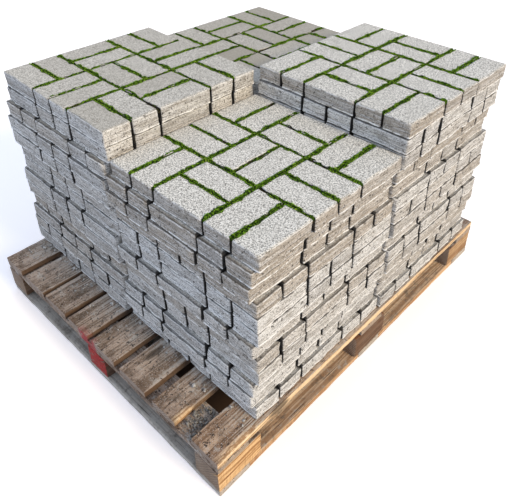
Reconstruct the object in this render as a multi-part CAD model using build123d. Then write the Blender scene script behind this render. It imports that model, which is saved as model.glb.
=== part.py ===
from build123d import *
import os
import random

# Pallet of grass pavers, in millimetres.
# The origin is the middle of the pallet's underside, +Z is up and +X runs along the deck boards.
# The bare strip of deck is at the -X end.

# Paving stone: a rectangular concrete block with eased top edges, laid two to a square
stone_l = 162.0
stone_h = 43.3
joint = 6.0
arris = 3.0
stone_w = (stone_l - joint) / 2
pitch = stone_l + joint

# Pack: a square of basket weave, the unit that is clamped and set down on the pallet
squares = 3
pack_gap = 6.0
pack_side = squares * pitch - joint
step = pack_side + pack_gap
stack_l = pack_side + step

# The four packs: which corner of the stack, number of courses, thickness of their batch of stones,
# whether the corner squares of the top course lie along X, which courses down from the top are laid
# the other way, how far outward along X and along Y the pack stands, and the same for its top course,
# with its turn in degrees
packs = {
    "front": {
        "side": (-1, -1), "courses": 12, "thick": stone_h, "along_x": True, "other_way": (3, 7, 8, 11),
        "stand": (7.0, 5.0), "top": (7.0, 7.0, 0.1),
    },
    "left": {
        "side": (-1, 1), "courses": 13, "thick": stone_h + 2.4, "along_x": False, "other_way": (2, 9, 11),
        "stand": (5.0, -5.0), "top": (5.0, -9.0, -0.5),
    },
    "right": {
        "side": (1, -1), "courses": 14, "thick": stone_h, "along_x": True, "other_way": (1, 2, 3, 6, 9, 10, 13),
        "stand": (-7.0, 11.0), "top": (-4.0, 15.0, -0.5),
    },
    "back": {
        "side": (1, 1), "courses": 12, "thick": stone_h + 1.9, "along_x": False, "other_way": (1, 4, 5, 8),
        "stand": (-2.0, -9.0), "top": (14.0, -4.0, -1.4),
    },
}
courses = max(pack["courses"] for pack in packs.values())

# How far each course of the front pack lies out of line with its top along X and along Y, from the deck up.
# The packs are pushed together, so the others lie out of line with it; each course also turns a little,
# and each stone is a little out of place
out_of_line = (
    (-6.0, 6.0), (-15.0, 15.0), (-11.0, 10.0), (-2.0, 2.0), (-4.0, 3.0), (-12.0, 11.0),
    (-2.0, 1.0), (-3.0, 3.0), (-3.0, 3.0), (-15.0, 13.0), (-10.0, 9.0), (0.0, 0.0),
)
turn_most = 0.15
stone_slip = 0.6
layer_seed = 5

# Moss and soil that fill the joints of the top course
moss_clear = 0.3
moss_back = 12.0
moss_low = 2.5

# Pallet: deck boards along X on three stringer boards, nine blocks and a frame of bottom boards
deck_widths = (94.0, 89.0, 110.0, 108.0, 100.0, 112.0, 108.0, 98.0)
deck_slots = (58.0, 28.0, 25.0, 19.0, 16.0, 10.0, 25.0)
pallet_l = 1200.0
pallet_w = sum(deck_widths) + sum(deck_slots)
board_t = 20.0
block_h = 75.0
block_l = 140.0
block_w = 85.0
stringer_w = 100.0
foot_board_w = 100.0
board_edge = 1.5

# Where the stack stands on the deck
bare_strip = 150.0
stack_y = 12.0
stack_x = bare_strip + (stack_l - pallet_l) / 2

# Levels, from the floor up
block_z = board_t
stringer_z = block_z + block_h
deck_z = stringer_z + board_t
stack_z = deck_z + board_t


def board(length, width, thick):
    """A sawn board lying flat along X: its underside at z 0, its long top edges eased."""
    body = Box(length, width, thick, align=(Align.CENTER, Align.CENTER, Align.MIN))
    long_edges = body.edges().filter_by(Axis.X).group_by(Axis.Z)[-1]
    return chamfer(long_edges, board_edge)


def stone(thick, eased):
    """One paver lying along X with its underside at z 0. Only a stone that shows has its top edges eased."""
    body = Box(stone_l, stone_w, thick, align=(Align.CENTER, Align.CENTER, Align.MIN))
    if eased:
        body = chamfer(body.faces().sort_by(Axis.Z)[-1].edges(), arris)
    return body


def weave(corner_along_x):
    """The stones of a basket weave pack, about its middle: place of each, and whether it lies along X."""
    middle = (squares - 1) / 2
    for i in range(squares):
        for j in range(squares):
            along_x = corner_along_x == ((i + j) % 2 == 0)
            for half in (-1, 1):
                aside = half * (stone_w + joint) / 2
                x = (i - middle) * pitch + (0 if along_x else aside)
                y = (j - middle) * pitch + (aside if along_x else 0)
                yield x, y, along_x


def at_outer_side(pack, x, y, along_x):
    """Whether a stone's face is in one of the pack's two outer sides."""
    reach_x = (stone_l if along_x else stone_w) / 2
    reach_y = (stone_w if along_x else stone_l) / 2
    side_x, side_y = pack["side"]
    return max(side_x * x + reach_x, side_y * y + reach_y) > (pack_side - joint) / 2


def lean(pack, number, axis):
    """How far a course lies out of line: with the front pack's courses at the heights it spans, and of those
    with the one that is farthest out, so that no pack runs into the next."""
    band = packs["front"]["thick"]
    lowest = int(number * pack["thick"] / band + 0.001)
    highest = int((number + 1) * pack["thick"] / band - 0.001)
    last = len(out_of_line) - 1
    spans = [out_of_line[min(level, last)][axis] for level in range(lowest, highest + 1)]
    return max(spans) if pack["side"][axis] > 0 else min(spans)


def set_down(pack, number, out_x, out_y, turn):
    """Where the middle of a course comes to lie, and its turn."""
    side_x, side_y = pack["side"]
    x = stack_x + side_x * (step / 2 + out_x) + lean(pack, number, 0)
    y = stack_y + side_y * (step / 2 + out_y) + lean(pack, number, 1)
    return Pos(x, y, stack_z + number * pack["thick"]) * Rot(0, 0, turn)


def lay_course(pack, number, place, corner_along_x, slack, slip):
    """The stones of one course of one pack, as separate solids."""
    shows = number == pack["courses"] - 1
    eased = stone(pack["thick"], True)
    plain = stone(pack["thick"], False)
    laid = []
    for x, y, along_x in weave(corner_along_x):
        body = eased if shows or at_outer_side(pack, x, y, along_x) else plain
        here = Pos(x + slip.uniform(-slack, slack), y + slip.uniform(-slack, slack), 0)
        laid.append(place * here * Rot(0, 0, 0 if along_x else 90) * body)
    return laid


def moss_lattice(pack, place, corner_along_x):
    """The filling of a top course's joints: the lines between squares and the one within each square."""
    deep = pack["thick"] - moss_low
    wide = joint - 2 * moss_clear
    run = pack_side - 2 * moss_back
    bars = []
    for k in range(1, squares):
        line = pitch * (k - squares / 2)
        bars.append((0, line, run, wide))
        bars.append((line, 0, wide, run))
    aside = (stone_w + joint) / 2
    for x, y, along_x in list(weave(corner_along_x))[::2]:
        middle = x if along_x else y
        low = max(middle - pitch / 2, -run / 2)
        high = min(middle + pitch / 2, run / 2)
        if along_x:
            bars.append(((low + high) / 2, y + aside, high - low, wide))
        else:
            bars.append((x + aside, (low + high) / 2, wide, high - low))
    fill = [Pos(x, y, deep / 2) * Box(size_x, size_y, deep) for x, y, size_x, size_y in bars]
    return place * fill[0].fuse(*fill[1:])


def save(name, shape):
    export_step(shape, os.path.join("parts", name + ".step"))


os.makedirs("parts", exist_ok=True)
ends = (-1, 0, 1)

# Bottom boards: one across under each row of blocks, and three along in each bay between them
number = 0
for end in ends:
    number += 1
    x = end * (pallet_l - foot_board_w) / 2
    save("bottom_board_%d" % number, Pos(x, 0, 0) * Rot(0, 0, 90) * board(pallet_w, foot_board_w, board_t))
bay = (pallet_l - 3 * foot_board_w) / 2
for end in (-1, 1):
    for side in ends:
        number += 1
        x = end * (bay + foot_board_w) / 2
        y = side * (pallet_w - foot_board_w) / 2
        save("bottom_board_%d" % number, Pos(x, y, 0) * board(bay, foot_board_w, board_t))

# Blocks: three rows of three, flush with the outside of the pallet
number = 0
for end in ends:
    for side in ends:
        number += 1
        body = Box(block_l, block_w, block_h, align=(Align.CENTER, Align.CENTER, Align.MIN))
        body = chamfer(body.edges().filter_by(Axis.Z), board_edge)
        x = end * (pallet_l - block_l) / 2
        y = side * (pallet_w - block_w) / 2
        save("block_%d" % number, Pos(x, y, block_z) * body)

# Stringer boards: one across the top of each row of blocks
for number, end in enumerate(ends, 1):
    x = end * (pallet_l - stringer_w) / 2
    save("stringer_%d" % number, Pos(x, 0, stringer_z) * Rot(0, 0, 90) * board(pallet_w, stringer_w, board_t))

# Deck boards: side by side across the width, with a slot between each two
y = -pallet_w / 2
for number, width in enumerate(deck_widths, 1):
    save("deck_board_%d" % number, Pos(0, y + width / 2, deck_z) * board(pallet_l, width, board_t))
    y += width + (deck_slots + (0,))[number - 1]

# Paver courses from the deck up, and the moss in the top course of each pack
slip = random.Random(layer_seed)
laid = [[] for number in range(courses)]
for name, pack in packs.items():
    last = pack["courses"] - 1
    for number in range(last):
        place = set_down(pack, number, *pack["stand"], slip.uniform(-turn_most, turn_most))
        along_x = pack["along_x"] != (last - number in pack["other_way"])
        laid[number] += lay_course(pack, number, place, along_x, stone_slip, slip)
    place = set_down(pack, last, *pack["top"])
    laid[last] += lay_course(pack, last, place, pack["along_x"], 0, slip)
    save("moss_" + name, moss_lattice(pack, place, pack["along_x"]))
for number, stones in enumerate(laid, 1):
    save("paver_course_%d" % number, Compound(children=stones))
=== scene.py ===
import math

import bpy
import numpy as np
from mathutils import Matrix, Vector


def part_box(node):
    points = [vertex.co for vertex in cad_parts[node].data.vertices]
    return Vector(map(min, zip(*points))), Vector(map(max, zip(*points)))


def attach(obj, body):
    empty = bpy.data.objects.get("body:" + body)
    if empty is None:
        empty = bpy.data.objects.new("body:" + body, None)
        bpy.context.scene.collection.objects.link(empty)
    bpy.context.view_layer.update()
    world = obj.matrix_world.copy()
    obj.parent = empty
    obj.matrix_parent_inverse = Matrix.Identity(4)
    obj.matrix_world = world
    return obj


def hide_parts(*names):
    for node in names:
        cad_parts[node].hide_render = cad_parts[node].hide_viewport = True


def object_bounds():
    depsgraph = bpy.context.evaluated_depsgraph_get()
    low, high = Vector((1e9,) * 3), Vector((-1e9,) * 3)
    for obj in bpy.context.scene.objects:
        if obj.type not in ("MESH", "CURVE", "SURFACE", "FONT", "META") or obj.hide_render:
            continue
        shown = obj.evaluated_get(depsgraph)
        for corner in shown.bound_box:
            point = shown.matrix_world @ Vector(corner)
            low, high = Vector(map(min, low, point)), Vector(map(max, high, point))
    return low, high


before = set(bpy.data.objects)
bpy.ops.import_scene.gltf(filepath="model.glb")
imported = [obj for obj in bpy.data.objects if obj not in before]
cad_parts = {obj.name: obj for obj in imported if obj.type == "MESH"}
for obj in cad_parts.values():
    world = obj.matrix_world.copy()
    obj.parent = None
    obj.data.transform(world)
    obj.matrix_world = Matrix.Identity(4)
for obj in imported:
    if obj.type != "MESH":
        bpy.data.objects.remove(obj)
cad_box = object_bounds()

# Bottom boards: nine rough sawn softwood boards laid flat on the ground, three across the pallet
# and three along each bay, nailed up into the blocks. Damp has greyed them, and those along the
# sunny side are still the colour of fresh wood. Their sides that look along -Y are painted bright
# with sunlight on fresh wood.


class Wire:
    """A shader socket. Arithmetic on it makes Math nodes, and make() adds any other node to its tree."""

    def __init__(self, tree, socket=None):
        self.tree = tree
        self.socket = socket

    def plug(self, socket, value):
        if isinstance(value, Wire):
            self.tree.links.new(value.socket, socket)
        elif socket.type == "RGBA":
            socket.default_value = (*value, 1.0)
        else:
            socket.default_value = value

    def make(self, kind, settings=None, inputs=None, output=None):
        """Adds a node: its settings first, because they decide which sockets it has, then its inputs."""
        node = self.tree.nodes.new("ShaderNode" + kind)
        for key, value in (settings or {}).items():
            setattr(node, key, value)
        live = [s for s in node.inputs if s.enabled]
        for key, value in (inputs or {}).items():
            self.plug(live[key] if isinstance(key, int) else next(s for s in live if s.name == key), value)
        outputs = [s for s in node.outputs if s.enabled]
        return Wire(self.tree, next((s for s in outputs if s.name == output), outputs[0]))

    def math(self, operation, *terms):
        return self.make("Math", {"operation": operation}, dict(enumerate(terms)))

    def __add__(self, other):
        return self.math("ADD", self, other)

    def __radd__(self, other):
        return self.math("ADD", other, self)

    def __sub__(self, other):
        return self.math("SUBTRACT", self, other)

    def __rsub__(self, other):
        return self.math("SUBTRACT", other, self)

    def __mul__(self, other):
        return self.math("MULTIPLY", self, other)

    def __rmul__(self, other):
        return self.math("MULTIPLY", other, self)

    def __neg__(self):
        return self.math("MULTIPLY", self, -1.0)

    def __abs__(self):
        return self.math("ABSOLUTE", self)

    def ramp(self, low, high):
        """0 at low, 1 at high, smooth between; low may be the greater."""
        settings = {"interpolation_type": "SMOOTHSTEP"}
        return self.make("MapRange", settings, {"Value": self, "From Min": low, "From Max": high}, "Result")

    def tint(self, first, second):
        """The colour between first and second at this factor."""
        return self.make("Mix", {"data_type": "RGBA"}, {"Factor": self, "A": first, "B": second}, "Result")

    def attribute(self, name, output="Fac"):
        return self.make("Attribute", {"attribute_name": name}, None, output)

    def stretch(self, scale):
        """This vector multiplied axis by axis."""
        return self.make("VectorMath", {"operation": "MULTIPLY"}, {0: self, 1: scale})

    def noise(self, scale, detail=3.0, roughness=0.55):
        inputs = {"Vector": self, "Scale": scale, "Detail": detail, "Roughness": roughness}
        return self.make("TexNoise", None, inputs, "Fac")

    def cells(self, scale):
        return self.make("TexVoronoi", None, {"Vector": self, "Scale": scale}, "Distance")

    def axis(self, name):
        return self.make("SeparateXYZ", None, {"Vector": self}, name)

    def background_rays(self):
        """1 for the rays that show the background as it is painted: camera, glossy and transmission rays."""
        kinds = ("Camera", "Glossy", "Transmission")
        camera, glossy, through = (self.make("LightPath", None, None, "Is %s Ray" % kind) for kind in kinds)
        return self.math("MAXIMUM", self.math("MAXIMUM", camera, glossy), through)


def new_material(name, specular=0.25):
    """A Principled material, the wire that adds nodes to it, and its shader."""
    material = bpy.data.materials.new(name)
    material.use_nodes = True
    shader = material.node_tree.nodes["Principled BSDF"]
    shader.inputs["Specular IOR Level"].default_value = specular
    return material, Wire(material.node_tree), shader


def finish_material(wire, shader, colour, roughness, height, distance):
    """Feeds a colour, a roughness and a bump of the given depth in metres to the shader."""
    wire.plug(shader.inputs["Base Color"], colour)
    wire.plug(shader.inputs["Roughness"], roughness)
    bump = wire.make("Bump", None, {"Strength": 1.0, "Distance": distance, "Height": height}, "Normal")
    wire.plug(shader.inputs["Normal"], bump)


def shade(colour, *factors):
    """A colour multiplied by one factor, or by one for each channel."""
    return tuple(k * c for k, c in zip(factors * 3 if len(factors) == 1 else factors, colour))


def wood(name, old, dark, tan, fresh, soil, paint=None):
    """Sawn softwood: grain drawn out along each board, greyed flat faces, knots, dirt and checks, and on the
    sides that look along -Y painted sunlight and painted shade. "grain" gives place along, across and up
    each board, "end" its end grain, "split" fresh wood in a splintered edge, "age" how far its sides that
    look along -Y are painted dark brown with dirt and shade instead of bright with sunlight on fresh wood,
    and "brown" how far its flat faces are still tan. The soil is how thick specks and grit lie on it. The
    paint, if any, is a worn coat on the faces that look along -X between two values of Y."""
    material, w, shader = new_material(name)
    grain = w.attribute("grain", "Vector")
    end = w.attribute("end")
    age = w.attribute("age")
    brown = w.attribute("brown")
    place = w.make("TexCoord", None, None, "Object")
    normal = w.make("NewGeometry", None, None, "Normal")
    fibre = grain.stretch((4.0, 170.0, 170.0)).noise(1.0, 4.0, 0.65)
    band = grain.stretch((1.6, 30.0, 30.0)).noise(1.0, 2.0, 0.5)
    saw = grain.stretch((330.0, 10.0, 10.0)).noise(1.0, 1.0, 0.5)
    knot = grain.stretch((2.4, 8.0, 8.0)).cells(1.0)
    dirt = place.noise(26.0, 5.0, 0.7)
    spot = place.noise(95.0, 2.0, 0.6)
    grit = place.noise(320.0, 2.0, 0.7)
    pits = place.noise(175.0, 1.0, 0.5)
    check = grain.stretch((5.0, 210.0, 210.0)).noise(1.0, 2.0, 0.5).ramp(0.67, 0.74)
    # Flat faces: grey to tan, then dirt, pale dust, specks, pits and grit, dust by the stack and dark ends
    streak = (band * 0.4 + fibre * 0.6).ramp(0.43, 0.57)
    tanned = streak.tint(shade(tan, 0.44, 0.36, 0.30), tan)
    flat = (brown * (0.55 + dirt * 0.9)).tint(streak.tint(dark, old), tanned)
    flat = (dirt.ramp(0.50, 0.66) * 0.6).tint(flat, shade(dark, 0.4))
    flat = (dirt.ramp(0.46, 0.34) * 0.6).tint(flat, (0.50, 0.46, 0.40))
    flat = (spot.ramp(0.61, 0.67) * 0.9 * soil).tint(flat, (0.045, 0.032, 0.025))
    flat = (pits.ramp(0.66, 0.71) * 0.9 * soil).tint(flat, (0.04, 0.028, 0.022))
    flat = (grit.ramp(0.59, 0.67) * 0.8 * soil).tint(flat, (0.64, 0.60, 0.55))
    by_stack = place.axis("X").ramp(-0.55, -0.46) * fibre.ramp(0.44, 0.58)
    flat = (by_stack * 0.6 * soil).tint(flat, (0.50, 0.47, 0.41))
    by_ends = abs(place.axis("X")).ramp(0.56, 0.60) * dirt.ramp(0.40, 0.60)
    flat = (by_ends * 0.55 * soil).tint(flat, (0.11, 0.065, 0.04))
    # Sides that look along -Y: painted sunlight on bright fresh wood where the board is young, dirt and
    # painted shade in dark brown where it is old
    line = (band * 0.3 + saw * 0.1 + fibre * 0.6).ramp(0.42, 0.54)
    bright = line.tint(shade(fresh, 0.46, 0.35, 0.26), fresh)
    bright = (dirt.ramp(0.56, 0.72) * 0.6).tint(bright, shade(fresh, 0.4))
    lit = (-normal.axis("Y")).ramp(0.35, 0.8)
    colour = (lit * (1.0 - age)).tint(flat, bright)
    colour = (lit * age * 0.95).tint(colour, shade(dark, 0.55, 0.42, 0.34))
    # End grain, splinters and knots
    rings_in = {"Vector": grain, "Scale": 70.0, "Distortion": 2.5}
    rings = grain.make("TexWave", {"wave_type": "RINGS"}, rings_in, "Fac")
    colour = (end * 0.75).tint(colour, rings.tint(shade(old, 0.55), shade(old, 1.2)))
    colour = w.attribute("split").tint(colour, bright)
    colour = (knot.ramp(0.11, 0.06) * 0.8).tint(colour, shade(dark, 0.35))
    if paint:
        coat, low, high = paint
        worn = place.noise(70.0, 4.0, 0.7).ramp(0.33, 0.47)
        near = place.axis("X").ramp(-0.575, -0.598) * place.axis("Z").ramp(0.06, 0.075)
        faces = (-normal.axis("X")).ramp(0.5, 0.8)
        reach = place.axis("Y").ramp(low - 0.01, low + 0.01) * place.axis("Y").ramp(high + 0.01, high - 0.01)
        cover = faces * 0.92 + (1.0 - faces) * near * 0.3
        streaky = (fibre * 0.6 + grit * 0.4).ramp(0.38, 0.60).tint(shade(coat, 0.4), coat)
        colour = (worn * cover * reach).tint(colour, streaky)
    colour = (check * 0.75).tint(colour, shade(dark, 0.2))
    height = fibre * 0.7 + saw * 0.25 + grit * 0.3 - check * 0.8 - spot.ramp(0.6, 0.68) * 0.3
    finish_material(w, shader, colour, dirt * 0.2 + 0.72, height, 0.0014)
    return material


def ripple(rng, points, wavelength, waves=14):
    """A smooth random field, about -1 to 1: a sum of plane waves of random direction, length and phase."""
    push = rng.normal(size=(waves, points.shape[-1]))
    pace = 2 * np.pi / wavelength * rng.uniform(0.6, 1.5, (waves, 1))
    push *= pace / np.linalg.norm(push, axis=1, keepdims=True)
    phase = rng.uniform(0, 2 * np.pi, waves)
    return np.sin(points @ push.T + phase).sum(-1) * 1.4 / math.sqrt(waves)


def rim(long_points, short_points, corner_points):
    """The outline of a rounded rectangle, counter-clockwise, as p and q. Each point is p * (half size -
    radius) + q * radius: p runs round the sharp rectangle that the corner arcs are centred on, and q is the
    outward direction."""
    p, q = [], []
    run_long = np.linspace(1, -1, long_points + 2)[1:-1]
    run_short = np.linspace(1, -1, short_points + 2)[1:-1]
    arc = np.linspace(0, np.pi / 2, corner_points + 2)
    sides = (run_long, 0, 1), (run_short, -1, 0), (run_long, 0, -1), (run_short, 1, 0)
    for k, (run, qx, qy) in enumerate(sides):
        one = np.ones_like(run)
        p.append(np.stack([run * qy, one * qy] if qy else [one * qx, -run * qx], 1))
        q.append(np.stack([one * qx, one * qy], 1))
        turn = arc + (k + 1) * np.pi / 2
        corner = np.sign([math.cos(turn.mean()), math.sin(turn.mean())])
        p.append(np.tile(corner, (len(arc), 1)))
        q.append(np.stack([np.cos(turn), np.sin(turn)], 1))
    return np.concatenate(p), np.concatenate(q)


def tube_faces(bodies, rings, around):
    """Faces of closed tubes: quads between neighbouring rings, and triangles to a pole at each end.
    Each body's vertices are its rings one after another, then its first and last pole."""
    count = rings * around + 2
    ring, step = np.meshgrid(np.arange(rings - 1), np.arange(around), indexing="ij")
    a = ring * around + step
    b = ring * around + (step + 1) % around
    quads = np.stack([a, b, b + around, a + around], -1).reshape(-1, 4)
    i = np.arange(around)
    j = (i + 1) % around
    last = (rings - 1) * around
    first_cap = np.stack([j, i, np.full(around, count - 2)], 1)
    last_cap = np.stack([last + i, last + j, np.full(around, count - 1)], 1)
    offset = (np.arange(bodies) * count)[:, None, None]
    return (quads + offset).reshape(-1, 4), (np.concatenate([first_cap, last_cap]) + offset).reshape(-1, 3)


def skin(name, co, quads, tris, material, **attributes):
    """A smooth mesh object from whole arrays, with one value or vector per vertex for each attribute."""
    mesh = bpy.data.meshes.new(name)
    mesh.vertices.add(len(co))
    mesh.vertices.foreach_set("co", np.ascontiguousarray(co, np.float32).ravel())
    mesh.loops.add(quads.size + tris.size)
    mesh.loops.foreach_set("vertex_index", np.concatenate([quads.ravel(), tris.ravel()]).astype(np.int32))
    mesh.polygons.add(len(quads) + len(tris))
    starts = np.concatenate([np.arange(len(quads)) * 4, quads.size + np.arange(len(tris)) * 3])
    mesh.polygons.foreach_set("loop_start", starts.astype(np.int32))
    mesh.polygons.foreach_set("use_smooth", np.ones(len(starts), bool))
    for key, values in attributes.items():
        vector = values.ndim == 2
        layer = mesh.attributes.new(key, "FLOAT_VECTOR" if vector else "FLOAT", "POINT")
        row = np.ascontiguousarray(values, np.float32).ravel()
        layer.data.foreach_set("vector" if vector else "value", row)
    mesh.update(calc_edges=True)
    mesh.validate()
    mesh.materials.append(material)
    piece = bpy.data.objects.new(name, mesh)
    bpy.context.scene.collection.objects.link(piece)
    return piece


def timber(node, seed, material, radius, worn, step, age, brown, splinter=None):
    """A board or block in the box of its CAD node: a rounded rectangle carried along its length, eased at
    the ends, its faces worn in by a random field. A splinter, if any, is a broken top edge: its side, where
    it starts, how long and how deep it is. It sinks by its depth times the root of 4 t (1 - t), with t from
    0 to 1 along it."""
    rng = np.random.default_rng(seed)
    low, high = (np.array(corner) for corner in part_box(node))
    size = high - low
    along = 1 if size[1] > size[0] else 0
    length, width, thick = size[along], size[1 - along], size[2]
    p, q = rim(10, 4, 2)
    half = np.array([width, thick]) / 2
    ease, ease_in = (0, 0.0007, 0.0022), (0.0012, 0.0003, 0)
    inner = np.linspace(ease[2], length - ease[2], int(length / step))
    run = np.concatenate([ease[:2], inner, [length - ease[1], length]])
    inset = np.interp(np.minimum(run, length - run), ease, ease_in)
    run -= length / 2
    local = np.empty((len(run), len(p), 3))
    local[..., 0] = run[:, None]
    local[..., 1:] = p * (half - radius) + q * radius
    wear = worn * (0.5 + 0.5 * ripple(rng, local, 0.09)).clip(0, 1.4)
    wear += 0.4 * worn * np.abs(ripple(rng, local, 0.017)) + inset[:, None]
    local[..., 1:] -= wear[..., None] * q
    split = np.zeros(local.shape[:2])
    if splinter:
        side, start, span, deep = splinter
        edge_width, edge_fade = 0.016, 0.012
        t = ((run + length / 2 - start) / span)[:, None]
        inside = np.sqrt(np.clip(4 * t * (1 - t), 0, 1))
        edge = np.clip((side * local[..., 1] - half[0] + edge_width) / edge_fade, 0, 1)
        split = inside * (edge * (local[..., 2] > -0.2 * thick))
        local[..., 2] -= deep * split * (0.75 + 0.35 * ripple(rng, local * (1, 0.3, 0.3), 0.02))
    poles = np.array([[run[0], 0, 0], [run[-1], 0, 0]])
    points = np.concatenate([local.reshape(-1, 3), poles])
    end = (np.abs(points[:, 0]) > length / 2 - 0.0003).astype(float)
    place = points.copy()
    if along == 1:
        place[:, 0], place[:, 1] = -points[:, 1], points[:, 0]
    place += (low + high) / 2
    quads, tris = tube_faces(1, len(run), len(p))
    grain = points + rng.uniform(0, 9, 3)
    marks = {"grain": grain, "end": end, "split": np.concatenate([split.ravel(), [0, 0]])}
    marks.update(age=np.full(len(points), age), brown=np.full(len(points), brown))
    return skin(node + "_wood", place, quads, tris, material, **marks)


foot_wood = wood(
    "foot_wood", old=(0.58, 0.54, 0.47), dark=(0.36, 0.325, 0.275), tan=(0.92, 0.64, 0.39),
    fresh=(0.72, 0.45, 0.24), soil=0.3,
)
nodes = sorted(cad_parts)
sunny_boards = ("bottom_board_4", "bottom_board_7")
for k, node in enumerate(n for n in nodes if n.startswith("bottom_board")):
    brown = 0.95 if node in sunny_boards else 0.1
    board = timber(node, 100 + k, foot_wood, radius=0.0018, worn=0.0009, step=0.02, age=0.0, brown=brown)
    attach(board, "root")
    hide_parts(node)

# Blocks: nine short lengths of sawn timber nailed between the boards. The middle one of the bare end
# is sprayed red on its outer face. On the faces that look along -Y, two on the sunny side show fresh
# yellow wood in painted sunlight, and the rest are painted dark brown with dirt and shade.

block_wood = wood(
    "block_wood", old=(0.34, 0.25, 0.18), dark=(0.17, 0.115, 0.08), tan=(0.50, 0.25, 0.13),
    fresh=(0.90, 0.58, 0.285), soil=0.5,
)
red_wood = wood(
    "red_wood", old=(0.30, 0.23, 0.17), dark=(0.15, 0.10, 0.07), tan=(0.50, 0.25, 0.13),
    fresh=(0.34, 0.2, 0.11), soil=0.5, paint=((0.52, 0.028, 0.028), -0.2, 0.2),
)
sunny_blocks = {"block_1": (0.0, 0.2), "block_4": (0.82, 0.95), "block_7": (0.25, 0.4)}
other_block = (0.75, 0.3)
for k, node in enumerate(n for n in nodes if n.startswith("block")):
    painted = node == "block_2"
    material = red_wood if painted else block_wood
    age, brown = sunny_blocks.get(node, other_block)
    block = timber(node, 200 + k, material, radius=0.003, worn=0.0012, step=0.012, age=age, brown=brown)
    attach(block, "root")
    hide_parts(node)

# Stringer boards and deck boards: rough sawn softwood, the stringers nailed across the blocks and the
# deck boards along the pallet on top of them. The deck is grey-brown and gritty from the stones, its
# nearest boards are splintered, and the red spray has caught the board ends over the red block. On the
# sides that look along -Y the nearest deck board and the stringers carry painted sunlight on fresh wood,
# and the boards behind are painted dark brown with dirt and shade in their slots.

deck_wood = wood(
    "deck_wood", old=(0.43, 0.335, 0.265), dark=(0.20, 0.143, 0.10), tan=(0.57, 0.38, 0.24),
    fresh=(1.0, 0.72, 0.42), soil=1.0, paint=((0.55, 0.07, 0.075), -0.005, 0.075),
)
splinters = {"deck_board_1": (-1, 0.005, 0.13, 0.010), "deck_board_2": (-1, 0.0, 0.06, 0.007)}
for k, node in enumerate(n for n in nodes if n.startswith(("stringer", "deck_board"))):
    age, brown = 0.3, 0.2
    if node.startswith("deck"):
        number = int(node.rsplit("_", 1)[1])
        age, brown = min(0.6 * number - 0.55, 0.9), 0.8 / number ** 1.5
    board = timber(
        node, 300 + k, deck_wood, radius=0.002, worn=0.0011, step=0.016, age=age, brown=brown,
        splinter=splinters.get(node),
    )
    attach(board, "root")
    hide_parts(node)

# Pavers: pressed concrete blocks laid two to a square in basket weave, dry, one course on another.
# Tops are a speckled face mix with eased edges; sides are as they left the mould, with drag lines,
# a moulding groove, pores and thin pale burrs along the edges, and pale eased top edges that are partly
# painted highlight. Walls inside the joints are painted near-black with dirt and painted shade, and so
# are the feet and the crowns that another course lies on.

# Columns of a table of stones
in_plan, long_way = slice(0, 2), slice(3, 5)
foot_z, half_length, half_width, stone_height, eased = 2, 5, 6, 7, 8


def find_stones(node):
    """The stones of a course, read from its CAD mesh: middle of the underside, direction of the long side,
    half length, half width, height, and whether its top edges are eased, as they are on stones that show."""
    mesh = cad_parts[node].data
    co = np.empty(len(mesh.vertices) * 3, np.float32)
    mesh.vertices.foreach_get("co", co)
    points, same = np.unique(np.round(co.reshape(-1, 3).astype(float), 5), axis=0, return_inverse=True)
    corners = np.empty(len(mesh.loops), np.int32)
    mesh.loops.foreach_get("vertex_index", corners)
    faces = same.ravel()[corners].reshape(-1, 3)
    label = np.arange(len(points))
    while True:
        spread = label.copy()
        np.minimum.at(spread, faces.ravel(), np.repeat(label[faces].min(1), 3))
        if (spread == label).all():
            break
        label = spread
    found = []
    box_corners = 8
    for one in np.unique(label):
        body = points[label == one]
        foot = body[body[:, 2] < body[:, 2].min() + 1e-4]
        middle = foot.mean(0)
        ring = foot[np.argsort(np.arctan2(foot[:, 1] - middle[1], foot[:, 0] - middle[0]))]
        sides = np.roll(ring, -1, 0) - ring
        size = np.linalg.norm(sides, axis=1)
        way = sides[size.argmax(), :2] / size.max()
        sizes = size.max() / 2, size.min() / 2, np.ptp(body[:, 2])
        found.append((*middle, *way, *sizes, len(body) > box_corners))
    return np.array(found, float)


def pack_axes(pack):
    """The middle of a pack of stones and its two directions, along X and along Y but for its small turn."""
    quarter = np.pi / 2
    way_x, way_y = pack[:, long_way].T
    yaw = np.median((np.arctan2(way_y, way_x) + quarter / 2) % quarter - quarter / 2)
    along, across = (math.cos(yaw), math.sin(yaw)), (-math.sin(yaw), math.cos(yaw))
    return pack[:, in_plan].mean(0), np.array(along), np.array(across)


def bare_walls(stones, corner):
    """For the walls of each stone along +Y, -X, -Y and +X of its own axes: 1 where the wall is in a side of
    its pack, 0 where it faces a joint. A wall is in a side when it lies as far out as any of the pack's."""
    slack = 0.008
    bare = np.zeros((len(stones), 4))
    for one in np.unique(corner):
        pack = stones[corner == one]
        middle, e, f = pack_axes(pack)
        own = pack[:, long_way]
        aside = np.stack([-own[:, 1], own[:, 0]], 1)
        far = []
        for way, half in ((aside, half_width), (-own, half_length), (-aside, half_width), (own, half_length)):
            reach = pack[:, in_plan] + way * pack[:, half, None] - middle
            far.append(np.where(np.abs(way @ e) > 0.7, np.abs(reach @ e), np.abs(reach @ f)))
        far = np.stack(far, 1)
        bare[corner == one] = far > far.max() - slack
    return bare


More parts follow.
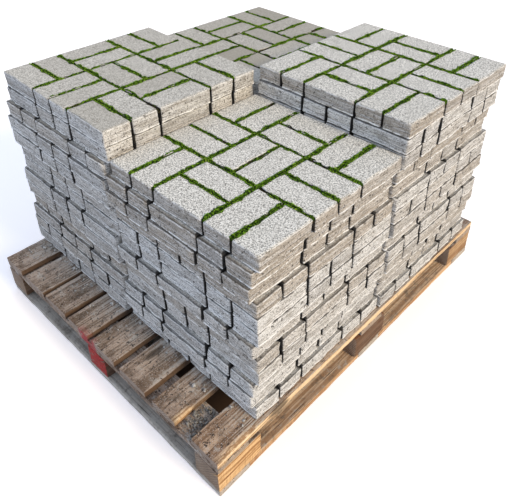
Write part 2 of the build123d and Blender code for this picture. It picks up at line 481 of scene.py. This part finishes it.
def stone_tubes(stones, bare, seed, points, foot, crown):
    """Stones as closed tubes: a rounded rectangle carried up a profile. Each row of the profile is height
    from the foot (or, in the crown, depth below the top), inset and raggedness in millimetres, and how much
    it is top face, burred edge and dirty crack: the burred edge is pale with burrs and partly painted
    highlight, the dirty crack dark with dirt and painted shade. Walls that face a joint get the same dark of
    dirt and painted shade. Random fields push each ring in and out and break bits off its edges."""
    rng = np.random.default_rng(seed)
    x, y, z, ux, uy, a, b, t = stones[:, :eased].T
    p, q = rim(*points)
    height, inset, ragged, face, edge, dirt = np.array(foot + crown).T
    height, inset, ragged = height / 1000, inset / 1000, ragged / 1000
    low = np.arange(len(height)) < len(foot)
    up = np.where(low, height, t[:, None] - height)
    count, rings, around = len(stones), len(height), len(p)
    radius = np.maximum(rng.uniform(0.0018, 0.0045, (count, 1)) - inset, 0.0006)[..., None, None]
    half = np.stack([a, b], 1)[:, None, None, :]
    own = rng.uniform(0, 9, (count, 1, 1, 3)) * (1, 1, 0)
    plan = np.broadcast_to(p * half, (count, rings, around, 2))
    level = np.broadcast_to(up[..., None, None], (count, rings, around, 1))
    field = np.concatenate([plan, level], -1) + own
    bow = 0.0007 * ripple(rng, field, 0.12) - 0.0004
    rough = ripple(rng, field, 0.014) * 0.6 + ripple(rng, field, 0.03) * 0.6
    at_corner = (np.abs(q[:, 0] * q[:, 1]) > 0.01) * 1.0
    broken = np.clip(ripple(rng, field, 0.035) - 0.8 + 0.25 * at_corner, 0, 1) * (2.0 + 2.0 * at_corner)
    push = bow * (inset < 0.003)[:, None] + ragged[:, None] * (rough - broken)
    local = np.empty((count, rings, around, 3))
    local[..., :2] = p * (half - radius - inset[:, None, None] + push[..., None]) + q * radius
    local[..., 2] = up[..., None] - (np.abs(rough) * 0.2 + broken * 0.5) * (ragged * ~low)[:, None]
    poles = np.zeros((count, 2, 3))
    poles[:, 1, 2] = t
    local = np.concatenate([local.reshape(count, -1, 3), poles], 1)
    place = np.empty_like(local)
    place[..., 0] = x[:, None] + local[..., 0] * ux[:, None] - local[..., 1] * uy[:, None]
    place[..., 1] = y[:, None] + local[..., 0] * uy[:, None] + local[..., 1] * ux[:, None]
    place[..., 2] = z[:, None] + local[..., 2]
    walls = np.array([(0, 1), (-1, 0), (0, -1), (1, 0)])
    open_air = (bare[:, None] * (q @ walls.T > 0.05)).max(2)
    # Dirt and painted shade: walls facing joints and the dirty crack rows are marked for near-black
    joint = np.maximum((1 - open_air)[:, None] * (1 - face)[:, None], dirt[:, None])
    joint = np.concatenate([joint.reshape(count, -1), np.zeros((count, 2))], 1)
    quads, tris = tube_faces(count, rings, around)
    at_poles = ((face, (0, 1)), (edge, (0, 0)))
    marks = [np.tile(np.concatenate([np.repeat(mark, around), ends]), count) for mark, ends in at_poles]
    tone = np.repeat(rng.uniform(0, 1, count), local.shape[1])
    cast = (local + own[:, 0]).reshape(-1, 3)
    return place.reshape(-1, 3), quads, tris, cast, tone, *marks, joint.ravel()


def concrete():
    """Cast concrete. "cast" gives place in each stone, "tone" differs from stone to stone, "face" is the top,
    "edge" the burred rims, pale with burrs and partly with painted highlight, "joint" the walls inside joints
    and the dirty cracks, painted near-black with dirt and shade, "clean" how washed its pack is and "warm"
    how brown its batch. Tops are salt and pepper speckle; sides have drag lines, pores and ragged pale edges."""
    material, w, shader = new_material("concrete", 0.2)
    cast = w.attribute("cast", "Vector")
    tone = w.attribute("tone")
    face = w.attribute("face").ramp(0.25, 0.75)
    edge = w.attribute("edge")
    joint = w.attribute("joint")
    clean = w.attribute("clean")
    speck = cast.noise(230.0, 2.0, 0.7)
    salt = cast.noise(430.0, 1.0, 0.5)
    cloud = cast.noise(14.0, 3.0, 0.6)
    top = speck.ramp(0.37, 0.55).tint((0.365, 0.342, 0.295), (0.85, 0.803, 0.71))
    top = (salt.ramp(0.45, 0.38) * 0.9).tint(top, (0.18, 0.17, 0.15))
    top = (salt.ramp(0.58, 0.66) * 0.7).tint(top, (0.98, 0.94, 0.85))
    top = (cloud.ramp(0.45, 0.7) * 0.25).tint(top, (0.46, 0.43, 0.37))
    top = ((1.0 - clean) * (0.45 + tone * 0.4)).tint(top, (0.33, 0.295, 0.235))
    drag = cast.stretch((10.0, 10.0, 190.0)).noise(1.0, 3.0, 0.65)
    streak = cast.stretch((26.0, 26.0, 430.0)).noise(1.0, 2.0, 0.6)
    stain = cast.noise(30.0, 4.0, 0.7)
    sand = cast.noise(300.0, 2.0, 0.7)
    pore = cast.noise(140.0, 2.0, 0.6)
    warm = (w.attribute("warm") + tone * 0.3 + cloud * 0.5 - 0.4).ramp(0.0, 1.0)
    side = warm.tint((0.80, 0.775, 0.725), (0.48, 0.405, 0.32))
    side = (tone.ramp(0.45, 0.0) * 0.6).tint(side, (0.40, 0.375, 0.345))
    side = (drag.ramp(0.46, 0.64) * 0.55).tint(side, (0.82, 0.79, 0.74))
    side = (drag.ramp(0.50, 0.34) * 0.55).tint(side, (0.30, 0.265, 0.22))
    side = (streak.ramp(0.55, 0.64) * 0.75).tint(side, (0.20, 0.175, 0.145))
    side = (stain.ramp(0.50, 0.68) * 0.45).tint(side, (0.32, 0.28, 0.225))
    side = (sand.ramp(0.48, 0.38) * 0.75).tint(side, (0.20, 0.18, 0.15))
    side = (sand.ramp(0.58, 0.66) * 0.5).tint(side, (0.93, 0.90, 0.83))
    side = (pore.ramp(0.61, 0.67) * 0.9).tint(side, (0.08, 0.07, 0.06))
    ragged = cast.stretch((1.0, 1.0, 2.0)).noise(60.0, 3.0, 0.7).ramp(0.41, 0.53)
    # Pale ragged rims: burrs, and on the eased top edges partly painted highlight
    side = (edge * ragged * 0.95).tint(side, (0.98, 0.95, 0.89))
    # Near-black walls inside joints and dirty cracks: dirt and painted shade
    side = (joint * 0.95).tint(side, (0.018, 0.016, 0.014))
    colour = face.tint(side, top)
    wall = drag * 0.8 + streak * 0.5 + stain * 0.6 + sand * 0.3 - pore.ramp(0.66, 0.73) * 1.2
    height = face * (speck * 0.5 + salt * 0.3) + (1.0 - face) * wall
    finish_material(w, shader, colour, 0.82 + speck * 0.12, height, 0.002)
    return material


# Profiles: the foot with its burr and moulding groove, the crown of a top course, the crown of a course
# that another lies on, and the plain foot and crown of stones that don't show. Pale burred rows on the
# crowns are partly painted highlight; the dark rows at the foot, in the groove and on crowns that another
# course lies on are dirt and painted shade.
foot_rows = (
    (0.0, 2.6, 0.4, 0, 0.0, 1.0),
    (1.0, 2.0, 0.5, 0, 0.0, 1.0),
    (2.2, 0.5, 0.9, 0, 0.5, 0.6),
    (2.9, 0.0, 0.9, 0, 1.0, 0.0),
    (5.6, 0.0, 0.8, 0, 1.0, 0.0),
    (7.2, 0.5, 0.4, 0, 0.0, 0.0),
    (14.5, 0.4, 0.4, 0, 0.0, 0.0),
    (15.8, 1.4, 0.6, 0, 0.0, 0.6),
    (17.3, 0.3, 0.6, 0, 0.7, 0.0),
    (19.5, 0.3, 0.4, 0, 0.0, 0.0),
)
top_rows = (
    (5.0, 0.0, 0.5, 0, 0.0, 0.0),
    (3.0, 0.0, 0.9, 0, 0.6, 0.0),
    (1.8, 0.5, 0.9, 0.2, 0.8, 0.0),
    (0.8, 1.3, 0.7, 0.8, 0.3, 0.0),
    (0.2, 2.4, 0.3, 1, 0.0, 0.0),
    (0.0, 4.0, 0.0, 1, 0.0, 0.0),
    (0.0, 8.0, 0.0, 1, 0.0, 0.0),
)
shut_rows = (
    (5.0, 0.0, 0.5, 0, 0.0, 0.0),
    (3.2, 0.1, 0.9, 0, 0.6, 0.0),
    (2.2, 0.6, 0.9, 0, 0.6, 0.1),
    (1.0, 1.6, 0.7, 0, 0.2, 0.6),
    (0.2, 2.8, 0.3, 0, 0.0, 0.9),
    (0.0, 4.5, 0.0, 0.2, 0.0, 0.5),
    (0.0, 9.0, 0.0, 0.6, 0.0, 0.1),
)
plain_foot = ((0.0, 1.0, 0.0, 0, 0, 0), (1.5, 0.0, 0.0, 0, 0, 0))
plain_crown = ((2.5, 0.0, 0.0, 0, 0, 0), (0.01, 2.5, 0.0, 1, 0, 0))
fine_rim, plain_rim = (8, 4, 1), (1, 1, 0)

# The stones of each course, and which pack each is of: 0 front, 1 left, 2 right, 3 back
heart = find_stones("paver_course_1")[:, in_plan].mean(0)
laid = {}
for node in (n for n in nodes if n.startswith("paver_course")):
    stones = find_stones(node)
    corner = (stones[:, 0] > heart[0]) * 2 + (stones[:, 1] > heart[1]) * 1
    laid[int(node.rsplit("_", 1)[1])] = stones, corner
courses = np.array([max(n for n, (stones, corner) in laid.items() if (corner == k).any()) for k in range(4)])

# How washed each pack's top is. Browner batches are the front pack's upper courses and two of the right's
washed = np.array([0.97, 0.3, 0.87, 0.0])
front_brown_above, right_brown = 8, (11, 14)
concrete_material = concrete()
box_low, box_high = (np.array(corner) for corner in cad_box)
batches = np.random.default_rng(399)
for number, (stones, corner) in laid.items():
    node = "paver_course_%d" % number
    bare = bare_walls(stones, corner)
    shows = (stones[:, eased] > 0.5) | (number >= courses.min())
    top = number == courses[corner]
    browner = np.array([number > front_brown_above, 0.4, 1.0 if number in right_brown else 0.35, 0.2])
    batch = np.clip(batches.normal(0.25, 0.22, 4) + 0.55 * browner, 0, 1)
    kinds = (
        (shows & top, 400 + number, fine_rim, foot_rows, top_rows),
        (shows & ~top, 450 + number, fine_rim, foot_rows, shut_rows),
        (~shows, 500 + number, plain_rim, plain_foot, plain_crown),
    )
    parts, start = [], 0
    for mine, seed, points, foot, crown in kinds:
        if mine.any():
            co, quads, tris, *marks = stone_tubes(stones[mine], bare[mine], seed, points, foot, crown)
            each = len(co) // mine.sum()
            marks += [np.repeat(washed[corner[mine]], each), np.repeat(batch[corner[mine]], each)]
            parts.append((co, quads + start, tris + start, *marks))
            start += len(co)
    co, quads, tris, *marks = (np.concatenate(part) for part in zip(*parts))
    marks = dict(zip(("cast", "tone", "face", "edge", "joint", "clean", "warm"), marks))
    co = np.clip(co, box_low, box_high)
    course = skin("pavers_%d" % number, co, quads, tris, concrete_material, **marks)
    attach(course, "root")
    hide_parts(node)

# Moss: soft green cushions on the soil that fills the joints of each pack's top course, grown up to the
# stones' eased edges, spilling over them in clumps and thin or bare in places.


def moss():
    """Moss and soil. "lush" is how well it grows there, "leaf" differs from leaf to leaf."""
    material, w, shader = new_material("moss", 0.1)
    lush = w.attribute("lush")
    leaf = w.attribute("leaf")
    place = w.make("TexCoord", None, None, "Object")
    mottle = place.noise(230.0, 3.0, 0.7)
    patch = place.noise(34.0, 2.0, 0.6)
    green = (leaf * 0.7 + mottle * 0.6).ramp(0.38, 0.84).tint((0.010, 0.026, 0.003), (0.29, 0.55, 0.032))
    green = (patch.ramp(0.44, 0.66) * leaf.ramp(0.50, 0.90) * 0.9).tint(green, (0.62, 0.68, 0.08))
    soil = mottle.ramp(0.35, 0.7).tint((0.014, 0.012, 0.008), (0.075, 0.06, 0.03))
    colour = lush.ramp(0.12, 0.4).tint(soil, green)
    finish_material(w, shader, colour, 0.8 + mottle * 0.15, mottle, 0.0015)
    return material


def joint_lines(pack):
    """The joint lines of one pack: start, direction and length of the one within each square, from the way
    its stones lie, then of the four between squares. Also the joint's width and the level of the tops."""
    middle, e, f = pack_axes(pack)
    grid = np.stack([(pack[:, in_plan] - middle) @ e, (pack[:, in_plan] - middle) @ f], 1)
    along_e = np.abs(pack[:, long_way] @ e) > 0.7
    length = 2 * pack[:, half_length].max()
    gap = length - 4 * pack[:, half_width].max()
    pitch = length + gap
    cells = np.round(grid / pitch)
    lines = []
    for cell in np.unique(cells, axis=0):
        way = e if along_e[(cells == cell).all(1)][0] else f
        lines.append((middle + (cell[0] * e + cell[1] * f) * pitch - way * length / 2, way, length))
    span = 3 * pitch - gap
    for k in (-0.5, 0.5):
        lines.append((middle + k * pitch * e - f * span / 2, f, span))
        lines.append((middle + k * pitch * f - e * span / 2, e, span))
    return lines, gap, pack[0, foot_z] + pack[0, stone_height]


def ribbon(rng, start, way, length, gap, level, own):
    """A moss ribbon along one joint line. Across the joint, v from -1 to 1, its height is two ridges along
    the stones with a trough between them: 1 - ((|v| - 0.7) / 0.7) squared. They grow with how lush it is
    there and never lie below the stones' eased edges; the width swells where it is lush. The pack's own
    number sets its random fields apart from other packs'. Gives points, quads, triangles and two marks, then
    the roots of its leaves, how lush and how bright they are."""
    edge_inset = np.array([0, 0.5, 1.3, 2.4, 4.0]) / 1000
    edge_depth = np.array([3.0, 1.8, 0.8, 0.2, 0.0]) / 1000
    soil_depth, ribbon_depth, clear = 0.009, 0.014, 0.0004
    step, end_gap, end_taper = 0.004, 0.003, 0.010
    leaves_per_metre = 2300
    v = np.linspace(-1, 1, 11)
    ridge = 1 - ((np.abs(v) - 0.7) / 0.7) ** 2
    side = np.array([-way[1], way[0]])
    n = max(int(length / step), 12)
    u = np.linspace(end_gap, length - end_gap, n)
    spot = start + u[:, None] * way
    field = np.concatenate([spot, np.full((n, 1), own)], 1)
    vigour = rng.choice([0.6, 0.75, 0.85, 0.95])
    lush = np.clip(vigour + 0.24 * ripple(rng, field, 0.11) + 0.16 * ripple(rng, field, 0.03), 0, 1)
    taper = np.clip(np.minimum(u, length - u) / end_taper, 0, 1)
    spill = []
    for hand in (-1, 1):
        clump = np.clip(ripple(rng, field, 0.05) + 0.5 * lush - 1.0, 0, 1)
        shaded = hand * side[0] > 0.7
        ragged = 0.0006 * ripple(rng, field, 0.011) + 0.0045 * clump
        over = 0.0008 + 0.0022 * lush + ragged - 0.0008 * shaded
        spill.append(gap / 2 + taper * np.clip(over, -0.001, 0.008))
    across = np.where(v < 0, spill[0][:, None], spill[1][:, None]) * v
    out = np.abs(across) - gap / 2
    bed = np.where(out > 0, -np.interp(out, edge_inset, edge_depth), -soil_depth)
    growth = 0.0080 * lush[:, None] + 0.0007 * rng.normal(size=across.shape)
    swell = -0.0075 + growth * (0.25 + 0.75 * ridge)
    rise = np.maximum(swell - 0.003 * (1 - taper[:, None]), bed + clear + 0.0012 * ridge * lush[:, None])
    top = np.concatenate([spot[:, None] + across[..., None] * side, (level + rise)[..., None]], -1)
    under = np.array([gap / 2 - clear, clear - gap / 2])
    sole = np.full((n, 2, 1), level - ribbon_depth)
    low = np.concatenate([spot[:, None] + under[:, None] * side, sole], -1)
    ring = np.concatenate([top, low], 1)
    poles = np.stack([ring[0].mean(0), ring[-1].mean(0)])
    co = np.concatenate([ring.reshape(-1, 3), poles])
    quads, tris = tube_faces(1, n, ring.shape[1])
    value = np.concatenate([np.pad(lush[:, None] * (0.3 + 0.7 * ridge), ((0, 0), (0, 2))).ravel(), [0, 0]])
    leaf = rng.uniform(0.0, 0.45, len(value))
    count = int(length * leaves_per_metre)
    i = rng.choice(n, count, p=lush ** 1.5 / (lush ** 1.5).sum())
    j = rng.choice([-1, 1], count) * (1 - 0.75 * rng.random(count) ** 1.4)
    reach = j * np.where(j < 0, spill[0][i], spill[1][i])
    root = spot[i] + reach[:, None] * side + rng.normal(0, 0.0015, (count, 1)) * way
    z = level + rise[i, np.round((j + 1) * 5).astype(int)] - clear
    roots = np.concatenate([root, z[:, None]], 1), lush[i], 0.35 + 0.65 * np.abs(j)
    return (co, quads[:, ::-1], tris[:, ::-1], value, leaf), roots


def cushion(lines, gap, level, seed):
    """The moss of one pack: a ribbon along each joint line, and leaves on them. A leaf is a thin closed spike
    with a triangle for its foot, that leans out from its root in a random direction."""
    rng = np.random.default_rng(seed)
    parts, leaves, base = [], [], 0
    for start, way, length in lines:
        (co, quads, tris, value, leaf), roots = ribbon(rng, start, way, length, gap, level, seed * 3.0)
        parts.append((co, quads + base, tris + base, value, leaf))
        leaves.append(roots)
        base += len(co)
    root, grow, bright = (np.concatenate(part) for part in zip(*leaves))
    count = len(root)
    heading = rng.uniform(0, 2 * np.pi, count)
    out = np.stack([np.cos(heading), np.sin(heading), rng.uniform(0.3, 1.6, count)], 1)
    out /= np.linalg.norm(out, axis=1, keepdims=True)
    flat = np.stack([-np.sin(heading), np.cos(heading), np.zeros(count)], 1)
    upright = np.cross(out, flat)
    size = rng.uniform(0.0016, 0.0042, count)[:, None] * (0.45 + 0.6 * grow[:, None])
    foot = root + flat * size * 0.3, root - flat * size * 0.3, root + upright * size * 0.22
    spike = np.stack([*foot, root + out * size], 1).reshape(-1, 3)
    first = np.arange(count)[:, None] * 4 + base
    tris = np.concatenate([first + np.array(f) for f in ((0, 2, 1), (0, 1, 3), (1, 2, 3), (2, 0, 3))])
    value = np.repeat(grow.clip(0.5, 1), 4)
    leaf = np.repeat(bright * rng.uniform(0.2, 1, count), 4)
    parts.append((spike, np.empty((0, 4), int), tris, value, leaf))
    return [np.concatenate(part) for part in zip(*parts)]


moss_material = moss()
for k, name in enumerate(("front", "left", "right", "back")):
    node = "moss_" + name
    stones, corner = laid[courses[k]]
    lines, gap, level = joint_lines(stones[corner == k])
    co, quads, tris, lush, leaf = cushion(lines, gap, level, 600 + k)
    tuft = skin(node + "_tufts", co, quads, tris, moss_material, lush=lush, leaf=leaf)
    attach(tuft, "root")
    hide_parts(node)

# Crumbs: chips and grit of broken concrete that have fallen on the bare deck boards, thickest along the
# foot of the stack and on the far boards, and a spill of it on the stringer in the widest slot.


def pebbles(spots, sizes, seed):
    """Angular pebbles: balls of rings and poles whose points are drawn in or out at random, a little sunk."""
    rng = np.random.default_rng(seed)
    rise = np.radians([-50, 0, 45])[:, None]
    turn = np.arange(6) * np.pi / 3
    ball = np.stack([np.cos(rise) * np.cos(turn), np.cos(rise) * np.sin(turn), np.sin(rise) + 0 * turn], -1)
    ball = np.concatenate([ball.reshape(-1, 3), [[0, 0, -1], [0, 0, 1]]])
    count = len(spots)
    body = ball * rng.uniform(0.6, 1.2, (count, len(ball), 1)) * rng.uniform(0.35, 1.0, (count, 1, 3))
    body *= sizes[:, None, None]
    angle = rng.uniform(0, 2 * np.pi, count)
    c, s = np.cos(angle)[:, None], np.sin(angle)[:, None]
    x, y, z = np.moveaxis(body, -1, 0)
    body = np.stack([x * c - y * s, x * s + y * c, z], -1)
    body[..., 2] -= body[..., 2].min(1, keepdims=True) + 0.25 * sizes[:, None]
    quads, tris = tube_faces(count, len(rise), len(turn))
    return (body + spots[:, None]).reshape(-1, 3), quads, tris


rng = np.random.default_rng(700)
boards = [[np.array(c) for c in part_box(n)] for n in nodes if n.startswith("deck_board")]
foot_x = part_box("paver_course_1")[0][0]
# How far crumbs and grit keep in from the edges of a board, and the spill from the sides of its slot
crumb_in, grit_in, spill_in = 0.008, 0.006, 0.004
edge_x = boards[0][0][0] + crumb_in
deck_z = boards[0][1][2]
scattered, foot_crumbs = [], []
for low, high in boards:
    far = (low[1] + 0.5) ** 1.5
    count = int(4 + 26 * far)
    x = foot_x - np.abs(rng.normal(0, 0.03 + 0.03 * far, count)) - 0.004
    y = rng.uniform(low[1] + grit_in, high[1] - grit_in, count)
    scattered.append(np.stack([x, y, np.full(count, deck_z)], 1)[x > edge_x])
    count = int(2 + 9 * far)
    x = foot_x - rng.uniform(0.002, 0.016, count)
    y = rng.uniform(low[1] + crumb_in, high[1] - crumb_in, count)
    foot_crumbs.append(np.stack([x, y, np.full(count, deck_z)], 1))
slot_low, slot_high = boards[0][1][1] + spill_in, boards[1][0][1] - spill_in
heap_count, heap_length, stringer_drop = 260, 0.088, 0.02
x = rng.uniform(edge_x, edge_x + heap_length, heap_count)
y = rng.uniform(slot_low, slot_high, heap_count)
heap = np.stack([x, y, np.full(heap_count, deck_z - stringer_drop)], 1)
grains = np.concatenate(scattered + [heap])
foot_crumbs = np.concatenate(foot_crumbs)
sizes = np.clip(rng.lognormal(math.log(0.0022), 0.55, len(grains)), 0.001, 0.008)
sizes = np.concatenate([sizes, rng.uniform(0.003, 0.008, len(foot_crumbs))])
co, quads, tris = pebbles(np.concatenate([grains, foot_crumbs]), sizes, 701)
zero = np.zeros(len(co))
# Crumbs sunk below the deck top, in the slot, are darker and browner than those on the deck
sunk_in_slot = np.where(co[:, 2] < deck_z - 0.004, 0.55, 0.2)
marks = {"cast": co, "tone": rng.uniform(0, 1, len(co)), "joint": sunk_in_slot, "warm": sunk_in_slot}
marks.update(face=zero, edge=zero, clean=zero)
crumbs = skin("crumbs", co, quads, tris, concrete_material, **marks)
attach(crumbs, "root")

# Setting: white ground and backdrop, a low warm sun on the long side, a cool sky on the bare end,
# and the camera at the photograph's angle. Under the pallet and close behind it the ground is painted
# dark to the camera, a painted shadow.

ground, w, shader = new_material("ground")
place = w.make("TexCoord", None, None, "Object")
across = place.axis("Y")
# Painted shadow: to the camera the ground under the pallet and close behind it is dark brown
under = abs(place.axis("X")).ramp(0.60, 0.52) * across.ramp(-0.50, -0.42) * across.ramp(0.64, 0.52)
seen = w.background_rays()
tone = seen.tint((0.48, 0.48, 0.50), under.tint((1.0, 0.985, 0.94), (0.055, 0.032, 0.02)))
finish_material(w, shader, tone, 0.95, place.noise(40.0), 0.0001)
w.plug(shader.inputs["Emission Color"], (seen * (1.0 - under)).tint((0.0, 0.0, 0.0), (0.30, 0.26, 0.26)))
shader.inputs["Emission Strength"].default_value = 1.0
ground_reach = 9.0
corners = np.array([[-1, -1, 0], [1, -1, 0], [1, 1, 0], [-1, 1, 0]]) * ground_reach
floor = skin("ground", corners, np.array([[0, 1, 2, 3]]), np.empty((0, 3), int), ground)
floor.location.z = -0.0005

world = bpy.data.worlds.new("sky")
bpy.context.scene.world = world
world.use_nodes = True
background = world.node_tree.nodes["Background"]
sky = Wire(world.node_tree)
seen = sky.background_rays()
sky.plug(background.inputs["Color"], seen.tint((0.78, 0.92, 1.18), (1.0, 1.0, 1.0)))
sky.plug(background.inputs["Strength"], seen * 0.2 + 0.8)

sun = bpy.data.objects.new("sun", bpy.data.lights.new("sun", "SUN"))
sun.data.energy = 2.3
sun.data.color = (1.0, 0.815, 0.54)
sun.data.angle = math.radians(14)
sun.rotation_euler = (math.radians(60), 0, math.radians(6))
bpy.context.scene.collection.objects.link(sun)

# The camera comes from a fit to the photograph: its focal length and centre of view are in pixels
photo_w, photo_h = 514, 501
focal, centre_x, centre_y = 578.07, 271.16, 173.85
camera = bpy.data.objects.new("camera", bpy.data.cameras.new("camera"))
camera.location = (-1.0394, -1.0687, 1.3918)
camera.rotation_euler = (math.radians(56.235), math.radians(-0.24), math.radians(-46.846))
camera.data.sensor_width = 36
camera.data.lens = focal / photo_w * camera.data.sensor_width
camera.data.shift_x = (photo_w / 2 - centre_x) / photo_w
camera.data.shift_y = (centre_y - photo_h / 2) / photo_w
bpy.context.scene.collection.objects.link(camera)
bpy.context.scene.camera = camera
bpy.context.scene.view_settings.view_transform = "Standard"
